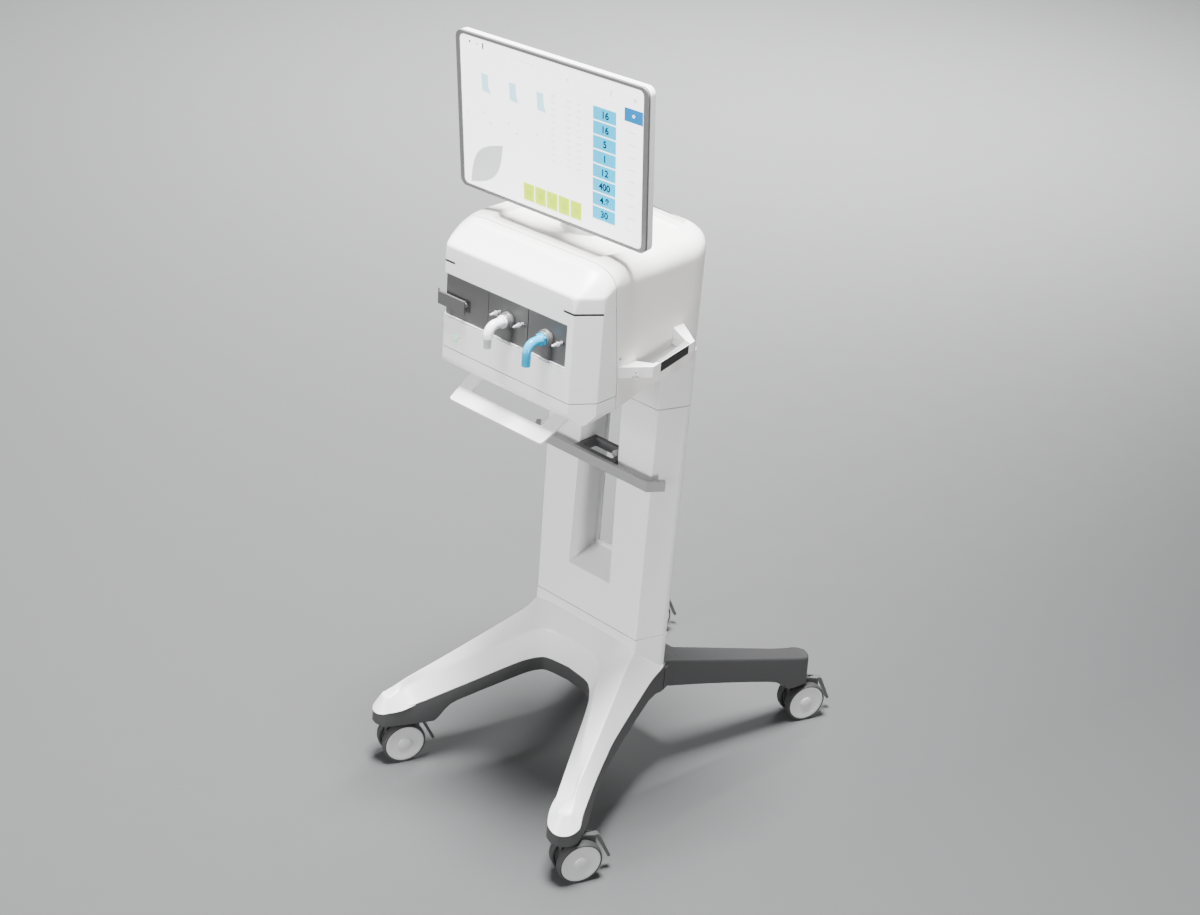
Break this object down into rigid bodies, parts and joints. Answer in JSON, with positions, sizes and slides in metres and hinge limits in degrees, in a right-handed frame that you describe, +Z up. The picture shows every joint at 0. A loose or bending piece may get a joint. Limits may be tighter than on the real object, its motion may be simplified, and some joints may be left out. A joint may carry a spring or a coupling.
{
  "type": "mechanical ventilator on a trolley",
  "caption": "Intensive-care ventilator: white main unit with port modules and a tilting display, on a windowed column and a four-legged trolley with braked twin-wheel casters.",
  "frame": {"origin": "on the floor, under the middle of the overall footprint", "axes": "+Z up, front of the machine faces -Y, +X to the right of someone facing it"},
  "size_m": [0.5779, 0.865, 1.4928],
  "materials": {
    "white_shell": "satin moulded white",
    "frame_grey": "dark grey powder coat",
    "panel_grey": "fine-textured dark grey",
    "rail_grey": "satin anodised grey",
    "silver_trim": "satin silver",
    "steel": "brushed",
    "black_plastic": "matt black",
    "wheel": "dark tread with light grey hub disc",
    "light_grey": "satin light grey",
    "blue_plastic": "clear-tinted blue",
    "display_glass": "glossy touch screen",
    "green_light": "translucent light ring",
    "circuit_board": "solder mask green"
  },
  "bodies": {
    "trolley": {"accessory_rail": "rail_grey", "alarm_light_left": "light_grey", "alarm_light_right": "light_grey", "base_cover": "white_shell", "base_frame": "frame_grey", "battery_pack": "black_plastic", "blower": "panel_grey", "centre_module": "panel_grey", "chassis": "steel", "column_neck": "white_shell", "column_shell": "white_shell", "control_board": "circuit_board", "display_foot": "light_grey", "expiratory_port": "light_grey", "front_cover": "white_shell", "front_handle": "white_shell", "gas_inlet": "steel", "grip_left": "black_plastic", "grip_right": "black_plastic", "hose_clip": "white_shell", "inspiratory_port": "light_grey", "lower_front_cover": "white_shell", "mains_inlet": "black_plastic", "module_shelf": "silver_trim", "power_led_ring": "green_light", "pressure_nipple_1": "steel", "pressure_nipple_2": "steel", "pressure_nipple_3": "steel", "rail_bracket": "frame_grey", "rear_panel": "panel_grey", "rear_shell": "white_shell", "right_module": "panel_grey", "side_handle_left": "white_shell", "side_handle_right": "white_shell"},
    "left_module": {"left_module": "panel_grey", "module_handle": "panel_grey"},
    "white_elbow": {"white_elbow": "white_shell"},
    "blue_elbow": {"blue_elbow": "blue_plastic"},
    "power_button": {"power_button": "white_shell"},
    "rail_lock_knob": {"rail_lock_knob": "light_grey"},
    "display_arm": {"display_arm": "white_shell"},
    "display_head": {"display_frame": "silver_trim", "display_glass": "display_glass", "display_back": "white_shell"},
    "front_left_caster": {"front_left_caster_housing": "frame_grey"},
    "front_left_outer_wheel": {"front_left_caster_outer_wheel": "wheel"},
    "front_left_inner_wheel": {"front_left_caster_inner_wheel": "wheel"},
    "front_left_brake_pedal": {"front_left_caster_brake_pedal": "light_grey"},
    "front_right_caster": {"front_right_caster_housing": "frame_grey"},
    "front_right_outer_wheel": {"front_right_caster_outer_wheel": "wheel"},
    "front_right_inner_wheel": {"front_right_caster_inner_wheel": "wheel"},
    "front_right_brake_pedal": {"front_right_caster_brake_pedal": "light_grey"},
    "rear_left_caster": {"rear_left_caster_housing": "frame_grey"},
    "rear_left_outer_wheel": {"rear_left_caster_outer_wheel": "wheel"},
    "rear_left_inner_wheel": {"rear_left_caster_inner_wheel": "wheel"},
    "rear_left_brake_pedal": {"rear_left_caster_brake_pedal": "light_grey"},
    "rear_right_caster": {"rear_right_caster_housing": "frame_grey"},
    "rear_right_outer_wheel": {"rear_right_caster_outer_wheel": "wheel"},
    "rear_right_inner_wheel": {"rear_right_caster_inner_wheel": "wheel"},
    "rear_right_brake_pedal": {"rear_right_caster_brake_pedal": "light_grey"}
  },
  "joints": [
    {"name": "front_left_caster_swivel", "type": "hinge", "parent": "trolley", "child": "front_left_caster", "pos_m": [-0.2567, -0.4001, 0.105], "axis": [0, 0, 1], "continuous": true},
    {"name": "front_left_outer_wheel_roll", "type": "hinge", "parent": "front_left_caster", "child": "front_left_outer_wheel", "pos_m": [-0.24531, -0.37452, 0.045], "axis": [0.9135, -0.4067, 0], "continuous": true},
    {"name": "front_left_inner_wheel_roll", "type": "hinge", "parent": "front_left_caster", "child": "front_left_inner_wheel", "pos_m": [-0.24531, -0.37452, 0.045], "axis": [0.9135, -0.4067, 0], "continuous": true},
    {"name": "front_left_brake_press", "type": "hinge", "parent": "front_left_caster", "child": "front_left_brake_pedal", "pos_m": [-0.23636, -0.35442, 0.085], "axis": [0.9135, -0.4067, 0], "range_deg": [-14, 0]},
    {"name": "front_right_caster_swivel", "type": "hinge", "parent": "trolley", "child": "front_right_caster", "pos_m": [0.2363, -0.4001, 0.105], "axis": [0, 0, 1], "continuous": true},
    {"name": "front_right_outer_wheel_roll", "type": "hinge", "parent": "front_right_caster", "child": "front_right_outer_wheel", "pos_m": [0.24769, -0.37452, 0.045], "axis": [0.9135, -0.4067, 0], "continuous": true},
    {"name": "front_right_inner_wheel_roll", "type": "hinge", "parent": "front_right_caster", "child": "front_right_inner_wheel", "pos_m": [0.24769, -0.37452, 0.045], "axis": [0.9135, -0.4067, 0], "continuous": true},
    {"name": "front_right_brake_press", "type": "hinge", "parent": "front_right_caster", "child": "front_right_brake_pedal", "pos_m": [0.25664, -0.35442, 0.085], "axis": [0.9135, -0.4067, 0], "range_deg": [-14, 0]},
    {"name": "rear_left_caster_swivel", "type": "hinge", "parent": "trolley", "child": "rear_left_caster", "pos_m": [-0.2305, 0.3399, 0.105], "axis": [0, 0, 1], "continuous": true},
    {"name": "rear_left_outer_wheel_roll", "type": "hinge", "parent": "rear_left_caster", "child": "rear_left_outer_wheel", "pos_m": [-0.21911, 0.36548, 0.045], "axis": [0.9135, -0.4067, 0], "continuous": true},
    {"name": "rear_left_inner_wheel_roll", "type": "hinge", "parent": "rear_left_caster", "child": "rear_left_inner_wheel", "pos_m": [-0.21911, 0.36548, 0.045], "axis": [0.9135, -0.4067, 0], "continuous": true},
    {"name": "rear_left_brake_press", "type": "hinge", "parent": "rear_left_caster", "child": "rear_left_brake_pedal", "pos_m": [-0.21016, 0.38558, 0.085], "axis": [0.9135, -0.4067, 0], "range_deg": [-14, 0]},
    {"name": "rear_right_caster_swivel", "type": "hinge", "parent": "trolley", "child": "rear_right_caster", "pos_m": [0.2101, 0.3399, 0.105], "axis": [0, 0, 1], "continuous": true},
    {"name": "rear_right_outer_wheel_roll", "type": "hinge", "parent": "rear_right_caster", "child": "rear_right_outer_wheel", "pos_m": [0.22149, 0.36548, 0.045], "axis": [0.9135, -0.4067, 0], "continuous": true},
    {"name": "rear_right_inner_wheel_roll", "type": "hinge", "parent": "rear_right_caster", "child": "rear_right_inner_wheel", "pos_m": [0.22149, 0.36548, 0.045], "axis": [0.9135, -0.4067, 0], "continuous": true},
    {"name": "rear_right_brake_press", "type": "hinge", "parent": "rear_right_caster", "child": "rear_right_brake_pedal", "pos_m": [0.23044, 0.38558, 0.085], "axis": [0.9135, -0.4067, 0], "range_deg": [-14, 0]},
    {"name": "display_swivel", "type": "hinge", "parent": "trolley", "child": "display_arm", "pos_m": [-0.0102, -0.1801, 1.1873], "axis": [0, 0, 1], "range_deg": [-60, 60]},
    {"name": "display_tilt", "type": "hinge", "parent": "display_arm", "child": "display_head", "pos_m": [-0.0102, -0.2448, 1.3498], "axis": [1, 0, 0], "range_deg": [-30, 8]},
    {"name": "left_module_slide", "type": "slide", "parent": "trolley", "child": "left_module", "axis": [0, -1, 0], "range_m": [0, 0.1]},
    {"name": "white_elbow_turn", "type": "hinge", "parent": "trolley", "child": "white_elbow", "pos_m": [-0.0087, -0.3673, 1.049], "axis": [0, -1, 0], "continuous": true},
    {"name": "blue_elbow_turn", "type": "hinge", "parent": "trolley", "child": "blue_elbow", "pos_m": [0.0838, -0.3673, 1.049], "axis": [0, -1, 0], "continuous": true},
    {"name": "power_button_press", "type": "slide", "parent": "trolley", "child": "power_button", "axis": [0, 1, 0], "range_m": [0, 0.002], "stiffness_N_per_m": 400, "springref_m": -0.0005},
    {"name": "rail_lock_turn", "type": "hinge", "parent": "trolley", "child": "rail_lock_knob", "pos_m": [0.0098, -0.0801, 0.7015], "axis": [0, 1, 0], "range_deg": [0, 90]}
  ]
}
